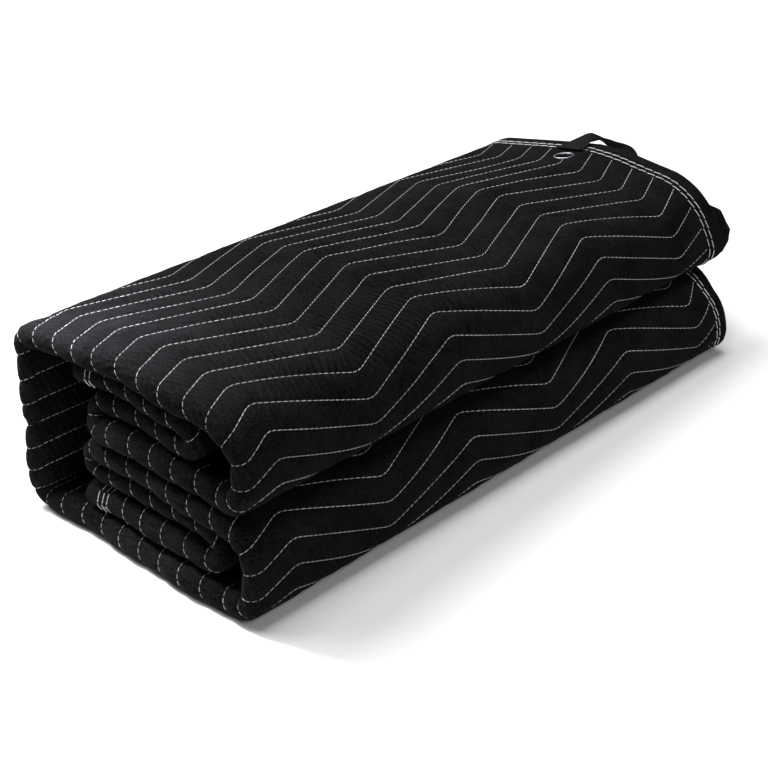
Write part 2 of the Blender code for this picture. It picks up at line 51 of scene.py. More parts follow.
LAYERS = (
    # name, level in layers, Y of its start and end, set back at the near and far ends
    ("second", 6.5, 0.066, -0.053, 0.010, 0.004),
    ("third", 5.5, -0.053, 0.038, 0.013, 0.008),
    ("fourth", 4.5, 0.038, -0.0832, 0.006, 0.006),
    ("top", 7.5, -0.0832, SPINE_Y - SPINE_CORNER, 0.0, 0.0),
    ("bottom", 0.5, SPINE_Y - SPINE_CORNER, -0.0891, 0.002, 0.008),
    ("fifth", 3.5, -0.0891, 0.050, 0.007, 0.010),
    ("sixth", 2.5, 0.050, -0.072, 0.014, 0.012),
    ("seventh", 1.5, -0.072, 0.068, 0.009, 0.009),
)
SQUARENESS = {"fourth": (3.6, 2.0), "bottom": (4.4, 3.6)}  # of the two round folds of the front
SPINE_SLACK = (-0.0083, 0.0128, 0.0012)  # cloth spared or spent at the upper corner, down the spine and below
TURN_STEPS = 61
OUTER_PLY, SECOND_PLY, THIRD_PLY, INNER_PLY = 1.5, 0.5, -0.5, -1.5
QUILT_SPACING, QUILT_PERIOD, QUILT_SWING, QUILT_PEAK = 0.0240, 0.2007, 0.0406, 0.1656
QUILT_FIRST = 0.0055
QUILT_DEPTH, QUILT_SHARPNESS = 0.0016, 3.2
QUILT_BEND = 0.007  # how far from a corner of the zigzag its lines begin to bend
EYELET_ACROSS, EYELET_IN = 0.0942, 0.0464

# how far the plies' far ends stand in or out, and where on the upper front fold: middle, half width, height
FAR_FOLD_BACK = 0.012
FIRST_HEM_OUT, FIRST_HEM_HUMP = 0.0050, (0.045, 0.065, 1.0)
SECOND_HEM_BACK, SECOND_HEM_OUT, SECOND_HEM_HUMP = 0.010, 0.028, (0.010, 0.057, 2.0)
# small waves of the plies' ends: height, radians to a metre across the cloth, phase
NEAR_WAVES = ((0.0014, 31.0, 0.1), (0.0009, 83.0, 1.5))
FAR_FOLD_WAVES = ((-0.0020, 41.0, 1.9),)
FIRST_HEM_WAVES = ((0.0012, 37.0, 4.4),)
SECOND_HEM_WAVES = ((0.0020, 52.0, 0.4),)
SCALLOP_DEPTH, SCALLOP_POWER, SCALLOP_RATE, SCALLOP_PHASE = 0.0040, 0.7, 150.0, 0.4
SCALLOP_DRIFT = ((0.6, 40.0, 0.0),)

# how the soft bundle settles: where it drops, where its top is drawn back, and where its far hem lifts
FAR_DROP, FRONT_DROP, FRONT_POWER = 0.0311, 0.0110, 1.10
BACK_DROP, BACK_POWER = (0.0134, 0.0244), (1.91, 1.10)  # at the near and far ends
FRONT_Y, BACK_Y = -0.128, 0.129
FAR_DRAW, DRAW_Z = 0.0404, (0.030, 0.173)
HEM_FLARE, FLARE_X, FLARE_Y = 0.0044, LENGTH / 2 - QUILT_PEAK + QUILT_PERIOD / 2, (0.010, -0.040)
# two pulls along it: how far, and the X, Y and Z at which each begins and is full
NEAR_PULL = (0.008, (0.050 - LENGTH / 2, -LENGTH / 2), (-0.040, -0.130), (0.090, 0.140))
FAR_PULL = (-0.024, (LENGTH / 2 - 0.080, LENGTH / 2), (-0.050, -0.120), (0.105, 0.075))
# the hem that hangs out: how far past the end it starts to bend, its share drawn in, its drop and its bend
HANG_FROM, HANG_DRAW, HANG_DROP, HANG_BEND = 0.006, 0.2, 1.2, 0.003


def smooth(value):
    value = np.clip(value, 0.0, 1.0)
    return value * value * (3.0 - 2.0 * value)


def blend(low, high, share):
    return low + (high - low) * share


def eased(value, start, end):
    """0 up to the start and 1 from the end on, with a soft step between them."""
    return smooth((value - start) / (end - start))


def fold_turn(centre, radius, start, sweep, square):
    """A fold of the end view: places and outward normals on a rounded square."""
    turned = np.linspace(0.0, 1.0, TURN_STEPS)
    spoke = np.stack([np.cos(start + sweep * turned), np.sin(start + sweep * turned)], axis=1)
    power = blend(square[0], square[1], smooth(turned))[:, None]
    reach = (np.abs(spoke) ** power).sum(axis=1, keepdims=True) ** (-1.0 / power)
    normal = np.sign(spoke) * np.abs(spoke) ** (power - 1.0)
    normal /= np.linalg.norm(normal, axis=1, keepdims=True)
    return np.array(centre) + spoke * radius * reach, normal * (-1.0 if sweep > 0 else 1.0)


def end_view():
    """The cloth in the end view: across, Y, Z, normal Y, normal Z, and how far both ends are set back."""
    rows, starts, across = [], [], 0.0

    def add(places, normals, ends, ends_after, reach=0.0, slack=(0.0, 0.0)):
        nonlocal across
        starts.append(across)
        shown = places + normals * reach
        run = np.concatenate([[0.0], np.cumsum(np.linalg.norm(np.diff(shown, axis=0), axis=1))])
        run += np.interp(run / run[-1], np.linspace(0.0, 1.0, len(slack)), slack)
        share = smooth(run / run[-1])[:, None]
        back = blend(np.array(ends), np.array(ends_after), share)
        rows.append(np.column_stack([across + run, places, normals, back]))
        across += run[-1]

    outer_face = OUTER_PLY * PITCH + CLOTH / 2
    for (name, level, start, end, *ends), after in zip(LAYERS, [*LAYERS[1:], None]):
        z = level * LAYER
        way = 1.0 if end > start else -1.0
        slack = SPINE_SLACK[2] if name == "bottom" else 0.0
        add(np.array([(start, z), (end, z)]), np.array([(0.0, way)] * 2), ends, ends, slack=(0.0, slack))
        if after is None:
            break
        after_ends = after[4:]
        if name == "top":
            low = after[1] * LAYER
            corner_y, quarter = SPINE_Y - SPINE_CORNER, -math.pi / 2
            corner = fold_turn((corner_y, z - SPINE_CORNER), SPINE_CORNER, math.pi / 2, quarter, (2.0, 2.0))
            add(*corner, ends, ends, outer_face, (0.0, SPINE_SLACK[0]))
            spine = np.linspace((SPINE_Y, z - SPINE_CORNER), (SPINE_Y, low + SPINE_CORNER), 4)
            spine_slack = (0.0, 0.0, SPINE_SLACK[1] / 2, SPINE_SLACK[1])
            add(spine, np.array([(1.0, 0.0)] * 4), ends, ends, slack=spine_slack)
            corner = fold_turn((corner_y, low + SPINE_CORNER), SPINE_CORNER, 0.0, quarter, (2.0, 2.0))
            add(*corner, ends, after_ends, outer_face)
            continue
        rise = after[1] - level
        sweep = math.pi if (rise < 0) == (way < 0) else -math.pi
        first = math.copysign(math.pi / 2, -rise)
        centre = (end, z + rise / 2 * LAYER)
        turn = fold_turn(centre, abs(rise) / 2 * LAYER, first, sweep, SQUARENESS.get(name, (2.0, 2.0)))
        add(*turn, ends, after_ends, outer_face if sweep < 0 else 0.0)
    starts.append(across)
    return np.concatenate(rows).T, starts


SECTION, SECTION_START = end_view()
UPPER_FOLD, TOP_START, LOWER_FOLD = (SECTION_START[stretch] for stretch in (5, 6, 11))
FIFTH_START, FIFTH_END, SIXTH_START, SIXTH_END = SECTION_START[12:16]
WIDTH = SECTION_START[-1]
HANG_ACROSS = (UPPER_FOLD + 0.060, UPPER_FOLD + 0.005)
OUTER_RUN = LENGTH - OUTER_PLY * PITCH - CLOTH / 2
INNER_RUN = OUTER_RUN - FAR_FOLD_BACK
OUTER_TURN, INNER_TURN = math.pi * OUTER_PLY * PITCH, math.pi * PITCH / 2
ALONG_RUNS = np.array([OUTER_RUN, OUTER_TURN, INNER_RUN, INNER_TURN, INNER_RUN, INNER_TURN, OUTER_RUN])
ALONG_START = np.concatenate([[0.0], np.cumsum(ALONG_RUNS)])
DEPTH = ALONG_START[-1]


def waves(across, rows):
    """Small waves across the cloth, counted from the top's start."""
    return sum(height * np.sin((across - TOP_START) * rate + phase) for height, rate, phase in rows)


def hump(across, middle, half_width, height):
    """1 about a place of the upper front fold, and softly down to 0 on both sides of it."""
    return smooth(height - np.abs(across - UPPER_FOLD - middle) / half_width)


def ply_place(across, along, up, near, far):
    """X, and the distance from the layer's middle line, of points of the cloth."""
    near_x = -LENGTH / 2 + near + OUTER_PLY * PITCH + CLOTH / 2 + waves(across, NEAR_WAVES)
    far_x = LENGTH / 2 - far
    fold_x = far_x - FAR_FOLD_BACK + waves(across, FAR_FOLD_WAVES)
    first_hem = far_x + waves(across, FIRST_HEM_WAVES) + FIRST_HEM_OUT * hump(across, *FIRST_HEM_HUMP)
    bulge = hump(across, *SECOND_HEM_HUMP)
    second_hem = far_x + blend(-SECOND_HEM_BACK, SECOND_HEM_OUT, bulge) + waves(across, SECOND_HEM_WAVES)
    swing = (across - TOP_START) * SCALLOP_RATE + SCALLOP_PHASE + waves(across, SCALLOP_DRIFT)
    second_hem = second_hem - bulge * SCALLOP_DEPTH * np.abs(np.sin(swing)) ** SCALLOP_POWER
    ply = np.clip(np.searchsorted(ALONG_START, along, side="left") - 1, 0, 6)
    share = (along - ALONG_START[ply]) / ALONG_RUNS[ply]
    outer = OUTER_PLY * PITCH + up
    angle = math.pi * share
    x = np.choose(ply, [
        blend(first_hem, near_x, share),
        near_x - np.sin(angle) * outer,
        blend(near_x, fold_x, share),
        fold_x + np.sin(angle) * (PITCH / 2 + up),
        blend(fold_x, near_x, share),
        near_x - np.sin(angle) * (PITCH / 2 - up),
        blend(near_x, second_hem, share),
    ])
    depth = np.choose(ply, [
        outer,
        np.cos(angle) * outer,
        INNER_PLY * PITCH - up,
        -PITCH - np.cos(angle) * (PITCH / 2 + up),
        THIRD_PLY * PITCH + up,
        -np.cos(angle) * (PITCH / 2 - up),
        SECOND_PLY * PITCH - up,
    ])
    return x, depth


def pull(x, y, z, reach, x_range, y_range, z_range):
    """How far a pull moves a place along the bundle."""
    return reach * eased(x, *x_range) * eased(y, *y_range) * eased(z, *z_range)


def settle(x, y, z):
    """The bundle's own settling: lower at its far end, its top drawn back, its spine leaning out."""
    share = x / LENGTH + 0.5
    back, front = np.maximum(y, 0.0) / BACK_Y, np.maximum(-y, 0.0) / -FRONT_Y
    drop = FAR_DROP * share + blend(*BACK_DROP, share) * back ** blend(*BACK_POWER, share)
    drop = drop + FRONT_DROP * front**FRONT_POWER
    lift = np.maximum(x - FLARE_X, 0.0) / (LENGTH / 2 - FLARE_X) * eased(y, *FLARE_Y)
    drop = drop - HEM_FLARE * lift * z / HEIGHT
    drawn = FAR_DRAW * share * eased(z, *DRAW_Z)
    pulled = pull(x, y, z, *NEAR_PULL) + pull(x, y, z, *FAR_PULL)
    return np.stack([x + pulled - MIDDLE[0], y + drawn - MIDDLE[1], z - drop * z / HEIGHT], axis=-1)


def fold(across, along, up):
    """Carries points of the flat cloth to their places in the bundle."""
    across, along, up = np.broadcast_arrays(across, along, up)
    y, z, side, rise, near, far = (np.interp(across, SECTION[0], column) for column in SECTION[1:])
    size = np.hypot(side, rise)
    x, depth = ply_place(across, along, up, near, far)
    y, z = y + side / size * depth, z + rise / size * depth - (PITCH - CLOTH) / 2
    # the slack hem that hangs out of the upper half at the far end bends down
    loose = np.maximum(x - LENGTH / 2 - HANG_FROM, 0.0) * eased(across, *HANG_ACROSS)
    hang = HANG_DROP * loose**2 / (loose + HANG_BEND)
    return settle(x - HANG_DRAW * loose, y, z - hang)


def zigzag(along):
    """0 on a row of peaks of the quilting, 1 on a row of valleys, and level past the near end."""
    turn = (np.minimum(along, ALONG_START[2]) - QUILT_PEAK) / QUILT_PERIOD % 1.0
    wave = 2.0 * np.minimum(turn, 1.0 - turn)
    bend = 2.0 * QUILT_BEND / QUILT_PERIOD
    for corner, inward in ((0.0, 1.0), (1.0, -1.0)):
        off = np.minimum(np.abs(wave - corner), bend)
        wave = wave + inward * (bend - off) ** 2 / (2.0 * bend)
    return wave


def quilt_phase(across, along):
    """A whole number on each line of quilting."""
    return (across - TOP_START - QUILT_FIRST + QUILT_SWING * zigzag(along)) / QUILT_SPACING


EYELET = (TOP_START + EYELET_ACROSS, EYELET_IN)
EYELET_RIM, EYELET_HOLE, EYELET_SUNK = 0.0098, 0.0069, 0.0006
EYELET_CLEAR, EYELET_DISH = EYELET_RIM + 0.004, (EYELET_RIM + 0.0025, EYELET_RIM + 0.0005)
HEM_WIDTH, HEM_RISE, HIDDEN_HEM_SHARE = 0.0215, 0.0009, 0.3
HEM_TOP, QUILT_START = HEM_WIDTH - 0.004, HEM_WIDTH + 0.003
EDGE_ROUND, EDGE_SHARE = 0.0024, 0.12  # how far in the cut edge rounds off, and the thickness that it keeps
CREASES = (
    # soft troughs: across from the top's start, along from the hem, half length, half width, depth, turn
    (0.060, 0.230, 0.050, 0.012, 0.0012, 0.35),
    (0.098, 0.300, 0.060, 0.014, 0.0012, -0.20),
    (0.030, 0.360, 0.055, 0.012, 0.0014, 0.30),
    (0.150, 0.120, 0.055, 0.010, 0.0016, 0.15),
    (0.128, 0.200, 0.045, 0.009, 0.0012, -0.25),
    (0.120, 0.470, 0.050, 0.016, 0.0014, 0.40),
    (-0.050, 0.420, 0.050, 0.012, 0.0012, 0.20),
    (-0.075, 0.190, 0.055, 0.012, 0.0010, -0.15),
    # one across the spine's inner wall at the near end, and two at the near end's corner with the top
    (0.300, 0.645, 0.042, 0.0055, 0.0036, 0.06),
    (0.196, 0.575, 0.018, 0.0040, 0.0014, 0.55),
    (0.209, 0.580, 0.016, 0.0040, 0.0012, 0.35),
)


def face_height(across, along, side):
    """How far a face of the cloth lies from its middle: low at the quilting, high over the doubled hem."""
    edge = np.minimum(np.minimum(across, WIDTH - across), np.minimum(along, DEPTH - along))
    off_line = np.abs((quilt_phase(across, along) + 0.5) % 1.0 - 0.5) * 2.0
    from_eyelet = np.hypot(across - EYELET[0], along - EYELET[1])
    groove = QUILT_DEPTH * (1.0 - off_line) ** QUILT_SHARPNESS
    groove = groove * eased(from_eyelet, EYELET_RIM, EYELET_CLEAR) * eased(edge, HEM_WIDTH, QUILT_START)
    height = CLOTH / 2 - groove
    if side > 0:
        shown = (across > UPPER_FOLD) & (across < FIFTH_START) & (along < ALONG_START[1])
        height = height + HEM_RISE * eased(edge, HEM_WIDTH, HEM_TOP) * np.where(shown, 1.0, HIDDEN_HEM_SHARE)
        height = height - EYELET_SUNK * eased(from_eyelet, *EYELET_DISH)
        for at, inward, half_length, half_width, depth, turn in CREASES:
            u, v = across - TOP_START - at, along - inward
            lengthwise = (v * math.cos(turn) + u * math.sin(turn)) / half_length
            crosswise = (u * math.cos(turn) - v * math.sin(turn)) / half_width
            height = height - depth * np.exp(-(crosswise**2) - lengthwise**4)
    rounding = np.sqrt(1.0 - (1.0 - np.clip(edge / EDGE_ROUND, 0.0, 1.0)) ** 2)
    return side * height * np.maximum(rounding, EDGE_SHARE)


def face_place(across, along, side):
    """Places on the upper (1) or lower (-1) face of the cloth."""
    places = fold(across, along, face_height(across, along, side))
    places[..., 2] = np.maximum(places[..., 2], 0.0)
    return places


def spaced(start, end, step):
    """Even places from start up to but not including end, about step apart."""
    return list(np.linspace(start, end, max(1, round((end - start) / step)) + 1)[:-1])


SIDE_ROWS = 0.0235
SHEAR_IN, SHEAR_OUT = (UPPER_FOLD - 0.112, UPPER_FOLD - 0.026), (FIFTH_END - 0.008, FIFTH_START + 0.042)
SHEAR_ALONG_IN, SHEAR_ALONG_OUT, SHEAR_SIDE = (0.50, 0.56), (0.74, 0.68), 0.060  # round the near end
CHANNEL = (0.0, 0.07, 0.21, 0.5, 0.79, 0.93)  # rows of points from one line of quilting to the next
HIDDEN_CHANNEL = (0.0, 0.14, 0.5, 0.86)  # and on layers of which only the near end shows


def sheared(row, along):
    """Rows of points follow the zigzags where the cloth shows, and run straight elsewhere."""
    shown = eased(row, *SHEAR_IN) * eased(row, *SHEAR_OUT)
    end = eased(along, *SHEAR_ALONG_IN) * eased(along, *SHEAR_ALONG_OUT)
    end = end * eased(np.minimum(row, WIDTH - row), SIDE_ROWS, SIDE_ROWS + SHEAR_SIDE)
    return row - QUILT_SWING * zigzag(along) * np.maximum(shown, end)


def cloth_rows():
    """Rows of points across the cloth: close at its sides, and a set number from line to line of quilting."""
    side = [0.0, 0.0004, 0.0012, 0.0024, 0.0060, 0.0110, 0.0155, 0.0170, 0.0195, 0.0220]
    lines = np.arange(math.floor(quilt_phase(0.0, QUILT_PEAK)), math.ceil(quilt_phase(WIDTH, QUILT_PEAK)))
    rows = []
    for line in lines:
        start = TOP_START + QUILT_FIRST + line * QUILT_SPACING
        shown = SHEAR_IN[0] < start < SHEAR_OUT[0]
        rows += [start + part * QUILT_SPACING for part in (CHANNEL if shown else HIDDEN_CHANNEL)]
    rows = [row for row in rows if SIDE_ROWS < row < WIDTH - SIDE_ROWS]
    return side + rows + [WIDTH - place for place in reversed(side)]


def cloth_columns():
    """Columns of points along the cloth: close at the hems and at the folds of the two ends."""
    hem = [0.0, 0.0004, 0.0012, 0.0024, 0.0060, 0.0100, 0.0140]
    hem += [0.0165, 0.0185, 0.0205, 0.0225, 0.0250, 0.0285]
    corner, bend = QUILT_PEAK - QUILT_PERIOD / 2, QUILT_BEND / 2
    columns = hem + spaced(0.0330, corner, 0.0064)
    while corner < OUTER_RUN - 0.05:
        after = corner + QUILT_PERIOD / 2
        columns += [corner, corner + bend, *spaced(corner + 2 * bend, after - 2 * bend, 0.0087)]
        columns += [after - 2 * bend, after - bend]
        corner = after
    stretches = (
        # start, end, step from column to column
        (corner, ALONG_START[1], 0.0046),
        (ALONG_START[1], ALONG_START[2], 0.0022),
        (ALONG_START[2], ALONG_START[2] + 0.07, 0.007),
        (ALONG_START[2] + 0.07, ALONG_START[3] - 0.03, 0.030),
        (ALONG_START[3] - 0.03, ALONG_START[3], 0.010),
        (ALONG_START[3], ALONG_START[4], 0.0018),
        (ALONG_START[4], ALONG_START[5], 0.090),
        (ALONG_START[5], ALONG_START[6], 0.0018),
        (ALONG_START[6], DEPTH - 0.05, 0.080),
        (DEPTH - 0.05, DEPTH - 0.0300, 0.010),
    )
    for stretch in stretches:
        columns += spaced(*stretch)
    return columns + [DEPTH - place for place in reversed(hem)]


def add_object(name, data):
    made = bpy.data.objects.new(name, data)
    bpy.context.scene.collection.objects.link(made)
    return made


def add_mesh(name, points, faces, material):
    data = bpy.data.meshes.new(name)
    data.from_pydata([tuple(point) for point in points], [], [tuple(face) for face in faces])
    data.validate()
    data.shade_smooth()
    data.materials.append(material)
    return add_object(name, data)


def add_uv(made, name, places):
    """A UV layer with a place for every point of the mesh."""
    corners = np.empty(len(made.data.loops), np.int32)
    made.data.loops.foreach_get("vertex_index", corners)
    layer = made.data.uv_layers.new(name=name)
    layer.data.foreach_set("uv", places[corners].astype(np.float32).ravel())


def rim_of(grid):
    """The outermost indexes of a grid, once round."""
    return np.concatenate([grid[:-1, 0], grid[-1, :-1], grid[:0:-1, -1], grid[0, :0:-1]])


def made_odd(places, start, end):
    """The places with one more in the widest gap between start and end, if their number is even."""
    places = sorted(places)
    if len(places) % 2 == 0:
        gaps = [(b - a, (a + b) / 2) for a, b in zip(places, places[1:]) if start < a < end]
        places = sorted([*places, max(gaps)[1]])
    return np.array(places)


def even_index(places, place):
    """The even index of the place nearest to a given one."""
    return 2 * int(np.argmin(np.abs(places[::2] - place)))


class ClothFace:
    """One face of the cloth as a grid of points with a ring of them round the eyelet's hole."""

    RINGS = (0.40, 0.65, 0.82, 0.94, 1.0)

    def __init__(self, rows, columns, window, side, first_index):
        self.side, self.faces = side, []
        row_grid, along = np.meshgrid(rows, columns, indexing="ij")
        across = sheared(row_grid, along)
        index = first_index + np.arange(across.size).reshape(across.shape)
        low_row, high_row, low_column, high_column = window
        quads = np.stack([index[:-1, :-1], index[1:, :-1], index[1:, 1:], index[:-1, 1:]], axis=-1)
        keep = np.ones(quads.shape[:2], bool)
        keep[low_row:high_row, low_column:high_column] = False
        self.add(quads[keep])
        self.edge = rim_of(index)
        rim = rim_of(index[low_row:high_row + 1, low_column:high_column + 1])
        flat = np.stack([across, along], axis=-1).reshape(-1, 2)
        out = flat[rim - first_index] - EYELET
        hole = EYELET_HOLE * out / np.linalg.norm(out, axis=1, keepdims=True)
        rings = [EYELET + blend(out, hole, share) for share in self.RINGS]
        self.flat = np.concatenate([flat, *rings])
        before = rim
        for ring in range(len(rings)):
            after = first_index + len(flat) + ring * len(rim) + np.arange(len(rim))
            self.add(np.stack([before, np.roll(before, -1), np.roll(after, -1), after], axis=1))
            before = after
        self.hole = before
        self.points = face_place(self.flat[:, 0], self.flat[:, 1], side)

    def add(self, quads):
        self.faces += [quad if self.side > 0 else quad[::-1] for quad in quads.tolist()]


def wall_between(upper, lower):
    """Closes the cloth between a loop of its upper face and the loop of half as many points below it."""
    walls = []
    for index in range(len(lower)):
        start, middle, end = (upper[(2 * index + step) % len(upper)] for step in (0, 1, 2))
        below, below_next = lower[index], lower[(index + 1) % len(lower)]
        walls += [(start, below, middle), (middle, below, below_next), (middle, below_next, end)]
    return walls


WINDOW = (0.017, 0.0155)  # half the opening of the grid that the rings round the eyelet's hole fill


def quilted_cloth(material):
    """The whole blanket: two faces of points, walled at the cloth's edge and at the eyelet's hole."""
    rows = made_odd(cloth_rows(), SIXTH_START, SIXTH_END)
    columns = made_odd(cloth_columns(), ALONG_START[4], ALONG_START[5])
    middle = EYELET[0] + QUILT_SWING * zigzag(EYELET[1])
    window = [even_index(rows, middle - WINDOW[0]), even_index(rows, middle + WINDOW[0])]
    window += [even_index(columns, EYELET[1] - WINDOW[1]), even_index(columns, EYELET[1] + WINDOW[1])]
    upper = ClothFace(rows, columns, window, 1, 0)
    lower = ClothFace(rows[::2], columns[::2], [place // 2 for place in window], -1, len(upper.points))
    walls = [face[::-1] for face in wall_between(upper.edge, lower.edge)]
    walls += wall_between(upper.hole, lower.hole)
    points = np.concatenate([upper.points, lower.points])
    made = add_mesh("blanket_cloth", points, upper.faces + lower.faces + walls, material)
    flat = np.concatenate([upper.flat, lower.flat])
    add_uv(made, "cloth", flat)
    add_uv(made, "quilting", np.column_stack([quilt_phase(flat[:, 0], flat[:, 1]), flat[:, 1]]))
    return made


class Shader:
    """A material under construction, whose nodes are added and linked in one call."""

    def __init__(self, name, color, **sockets):
        self.material = bpy.data.materials.new(name)
        self.material.use_nodes = True
        self.tree = self.material.node_tree
        self.principled = self.tree.nodes["Principled BSDF"]
        self.set(self.principled, {"Base Color": (*color, 1.0), **sockets})

    def set(self, node, values):
        for socket, value in values.items():
            if isinstance(value, bpy.types.NodeSocket):
                self.tree.links.new(value, node.inputs[socket])
            else:
                node.inputs[socket].default_value = value

    def add(self, kind, values=(), output=0, **settings):
        """Adds a node, and gives one of its outputs."""
        node = self.tree.nodes.new(kind)
        for name, value in settings.items():
            setattr(node, name, value)
        self.set(node, dict(values))
        return node.outputs[output]

    def place(self):
        return self.add("ShaderNodeTexCoord", output="Object")

    def math(self, operation, *values):
        return self.add("ShaderNodeMath", enumerate(values), operation=operation)

    def noise(self, vector, scale, detail, roughness=0.5):
        values = {"Vector": vector, "Scale": scale, "Detail": detail, "Roughness": roughness}
        return self.add("ShaderNodeTexNoise", values)

    def ramp(self, value, low, high, out_low, out_high):
        values = {"Value": value, "From Min": low, "From Max": high, "To Min": out_low, "To Max": out_high}
        return self.add("ShaderNodeMapRange", values)

    def scaled(self, vector, scale):
        return self.add("ShaderNodeMapping", {"Vector": vector, "Scale": scale})

    def mix(self, share, dark, light):
        values = {"Factor": share, 6: (*dark, 1.0), 7: (*light, 1.0)}
        return self.add("ShaderNodeMix", values, output=2, data_type="RGBA")

    def bump(self, strength, distance, height, **sockets):
        values = {"Strength": strength, "Distance": distance, "Height": height, **sockets}
        return self.add("ShaderNodeBump", values)


STITCH_PUCKER = 0.0060  # from one pucker to the next along the quilting


def napped_cloth():
    """Black brushed cloth with a mottled nap, its flecks strongest on top and at the near end as painted
    sheen, and faint puckers along the stitches with painted shade in their troughs.
    """
    shader = Shader("napped_cloth", (0.008, 0.008, 0.009), Roughness=0.85)
    sheen = {"Sheen Weight": 0.014, "Sheen Roughness": 0.30, "Sheen Tint": (0.85, 0.88, 1.0, 1.0)}
    shader.set(shader.principled, {**sheen, "Specular IOR Level": 0.015})
    cloth_uv = shader.add("ShaderNodeUVMap", uv_map="cloth")
    quilting = shader.add("ShaderNodeUVMap", uv_map="quilting")
    place = shader.place()
    fine = shader.noise(shader.scaled(cloth_uv, (2600.0, 1500.0, 1.0)), 1.0, 3.0, 0.6)
    fuzz = shader.noise(shader.scaled(cloth_uv, (540.0, 440.0, 1.0)), 1.0, 3.0, 0.7)
    brushed = shader.noise(place, 130.0, 3.0, 0.6)
    broad = shader.noise(place, 28.0, 3.0, 0.55)
    across = shader.add("ShaderNodeSeparateXYZ", {"Vector": cloth_uv})
    phase, along = shader.add("ShaderNodeSeparateXYZ", {"Vector": quilting}).node.outputs[:2]

    # the puckers follow each other along the stitches, unevenly and in patches
    from_line = shader.math("SUBTRACT", shader.math("FRACT", shader.math("ADD", phase, 0.5)), 0.5)
    near_line = shader.ramp(shader.math("ABSOLUTE", from_line), 0.02, 0.45, 1.0, 0.45)
    turn = shader.math("DIVIDE", shader.math("SUBTRACT", along, QUILT_PEAK), QUILT_PERIOD)
    way = shader.math("SIGN", shader.math("SUBTRACT", shader.math("FRACT", turn), 0.5))
    leg = math.hypot(QUILT_SWING, QUILT_PERIOD / 2)
    sideways = shader.math("MULTIPLY", shader.math("MULTIPLY", across, QUILT_SWING / leg), way)
    run = shader.math("ADD", shader.math("MULTIPLY", along, QUILT_PERIOD / 2 / leg), sideways)
    wander = shader.noise(shader.scaled(cloth_uv, (28.0, 28.0, 1.0)), 1.0, 2.5)
    swing = shader.math("MULTIPLY", run, 2 * math.pi / STITCH_PUCKER)
    swing = shader.math("ADD", swing, shader.math("MULTIPLY", wander, 9.0))
    patchy = shader.ramp(shader.noise(place, 11.0, 1.0), 0.42, 0.60, 0.1, 0.7)
    at_end = shader.ramp(along, ALONG_START[1] - 0.05, ALONG_START[1], 0.0, 0.45)
    off_edge = shader.math("ABSOLUTE", shader.math("SUBTRACT", across, TOP_START))
    at_edge = shader.ramp(off_edge, 0.060, 0.025, 0.0, 1.0)
    at_edge = shader.math("MULTIPLY", shader.ramp(along, 0.28, 0.38, 0.0, 1.5), at_edge)
    at_edge = shader.math("MULTIPLY", at_edge, shader.ramp(along, 0.52, 0.58, 1.0, 0.2))
    patchy = shader.math("MAXIMUM", patchy, shader.math("MAXIMUM", at_end, at_edge))
    pucker_and_painted_shade = shader.math("MULTIPLY", shader.math("SINE", swing), shader.math("MULTIPLY", near_line, patchy))

    # the nap's mottling is strongest on the top and towards the near end, where its bright flecks are painted
    # sheen of grazing light
    off_top = shader.math("ABSOLUTE", shader.math("SUBTRACT", across, TOP_START + 0.1))
    top_mottle_and_sheen = shader.ramp(off_top, 0.11, 0.16, 1.0, 0.5)
    top_mottle_and_sheen = shader.math("MAXIMUM", top_mottle_and_sheen, shader.ramp(along, 0.56, 0.61, 0.5, 0.85))
    # towards the near end the flecks grow stronger still: painted sheen
    mottle_and_painted_sheen = shader.math("MULTIPLY", top_mottle_and_sheen, shader.ramp(along, 0.25, ALONG_START[1], 0.9, 1.8))
    tone = shader.math("MULTIPLY", shader.ramp(fuzz, 0.36, 0.66, -0.52, 0.52), mottle_and_painted_sheen)
    tone = shader.math("ADD", tone, shader.ramp(brushed, 0.38, 0.64, 0.38, 0.70))
    tone = shader.math("ADD", tone, shader.ramp(broad, 0.35, 0.65, -0.14, 0.22))
    # the puckers' ridges lighter and their troughs darker in the colour: painted light and shade of their
    # relief
    tone = shader.math("ADD", tone, shader.math("MULTIPLY", pucker_and_painted_shade, 0.12))
    tint = shader.mix(tone, (0.0018, 0.0018, 0.0020), (0.0094, 0.0095, 0.0107))

    nap = shader.math("ADD", shader.math("MULTIPLY", fuzz, 0.6), shader.math("MULTIPLY", fine, 0.4))
    relief = shader.bump(0.8, 0.0006, pucker_and_painted_shade, Normal=shader.bump(0.6, 0.0008, nap))
    shader.set(shader.principled, {"Base Color": tint, "Normal": relief})
    return shader.material


cloth = quilted_cloth(napped_cloth())
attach(cloth, "root")
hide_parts("blanket", "eyelet_strip")


# The quilting and hem thread. White lockstitch, five millimetres from hole to hole in the quilting and ten
# in the rows of the hems, each stitch a short bowed length that dips into the cloth at both ends.
QUILT_STITCH, HEM_STITCH = 0.0050, 0.0098
STITCH_SHARE = 0.74
STITCH_BOW = 0.9  # its height and its dip, in radii of the thread
STITCH_LIFT = 0.0002
UNEVENNESS = 0.06  # of the stitches' sizes
THREAD_RADIUS = 0.00025
HEM_ROWS = (0.0170, 0.0220)
HEM_ROW_END = 0.0030
THIRD_ROW = HEM_ROWS[1] + 0.0045
SECOND_HEM_EDGE = DEPTH - 0.0045  # from which the rows of the second ply's hem are measured
EYELET_NEAREST = EYELET_RIM + 0.0015  # from the eyelet's middle to the first stitch
LINE_STEP = 0.0035
SEAT_ABOVE, SEAT_REACH = 0.0005, 0.0030  # where the search for the cloth's face starts, and its depth
OUTSIDE_ACROSS = (UPPER_FOLD - 0.03, FIFTH_START + 0.02)
OUTSIDE_ALONG = (0.0255, ALONG_START[1] - 0.012)
END_ACROSS = (HEM_ROWS[1] + 0.001, WIDTH - HEM_ROWS[1] - 0.001)
